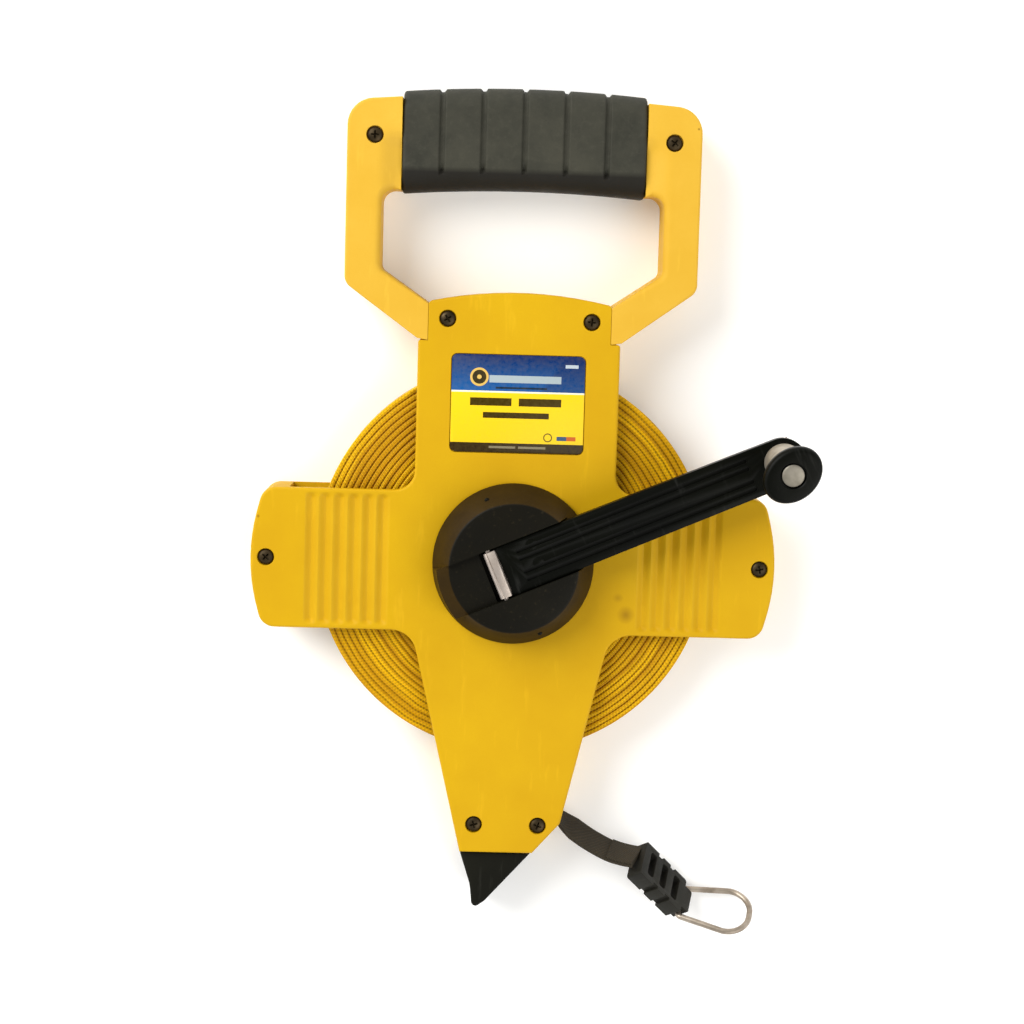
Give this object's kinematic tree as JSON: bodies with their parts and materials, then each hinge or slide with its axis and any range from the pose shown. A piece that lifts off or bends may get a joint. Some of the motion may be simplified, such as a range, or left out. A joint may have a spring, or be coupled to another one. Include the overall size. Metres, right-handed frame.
{
  "type": "surveyor tape reel",
  "caption": "Open-frame surveyor's tape reel: yellow cross frame with wound fibreglass tape, D handle with rubber grip, folding crank, ground spike, and a leader with clip and wire ring.",
  "frame": {"origin": "on the drum's axis at the rear face of the frame, which the reel lies on", "axes": "+X to the side of the tape mouth, +Y towards the handle, +Z out of the crank side along the drum's axis"},
  "size_m": [0.1983, 0.306, 0.067],
  "materials": {
    "frame_yellow": "satin moulded ABS",
    "handle_yellow": "fine matt moulded ABS",
    "grip_rubber": "soft matt rubber",
    "spike_black": "matt nylon",
    "black_plastic": "satin moulded nylon",
    "bright_steel": "nickel plated",
    "neck_grey": "satin",
    "black_screw": "blackened steel",
    "tape": "coated fibreglass tape",
    "strap": "coated woven strap",
    "label": "printed film"
  },
  "bodies": {
    "frame": {"front_frame": "frame_yellow", "rear_frame": "frame_yellow", "handle_front": "handle_yellow", "handle_rear": "handle_yellow", "grip_sleeve": "grip_rubber", "ground_spike": "spike_black", "label": "label", "frame_screw_1": "black_screw", "frame_screw_2": "black_screw", "frame_screw_3": "black_screw", "frame_screw_4": "black_screw", "frame_screw_5": "black_screw", "frame_screw_6": "black_screw", "handle_screw_1": "black_screw", "handle_screw_2": "black_screw", "thrust_washer": "black_plastic", "tape_run": "tape", "mouth_pin": "bright_steel", "leader_strap": "strap", "end_clip": "black_plastic"},
    "reel": {"drum": "frame_yellow", "tape_coil": "tape", "crank_hub": "black_plastic", "hub_screw_1": "black_screw", "hub_screw_2": "black_screw", "hinge_pin": "bright_steel"},
    "crank": {"crank_arm": "black_plastic", "crank_strip": "bright_steel", "knob_rivet": "bright_steel"},
    "knob": {"knob_neck": "neck_grey", "knob_cap": "black_plastic"},
    "ring": {"hook_ring": "bright_steel"}
  },
  "joints": [
    {"name": "reel_spin", "type": "hinge", "parent": "frame", "child": "reel", "pos_m": [0, 0, 0.012], "axis": [0, 0, 1], "continuous": true},
    {"name": "crank_fold", "type": "hinge", "parent": "reel", "child": "crank", "pos_m": [-0.00588, -0.00252, 0.0376], "axis": [0.3939, -0.9191, 0], "range_deg": [0, 170]},
    {"name": "knob_spin", "type": "hinge", "parent": "crank", "child": "knob", "pos_m": [0.09403, 0.0403, 0.038], "axis": [-0.0091, -0.0892, 0.996], "continuous": true},
    {"name": "ring_swing", "type": "hinge", "parent": "frame", "child": "ring", "pos_m": [0.06652, -0.12809, 0.00739], "axis": [-0.2083, -0.5749, 0.7913], "range_deg": [-130, 60]}
  ]
}
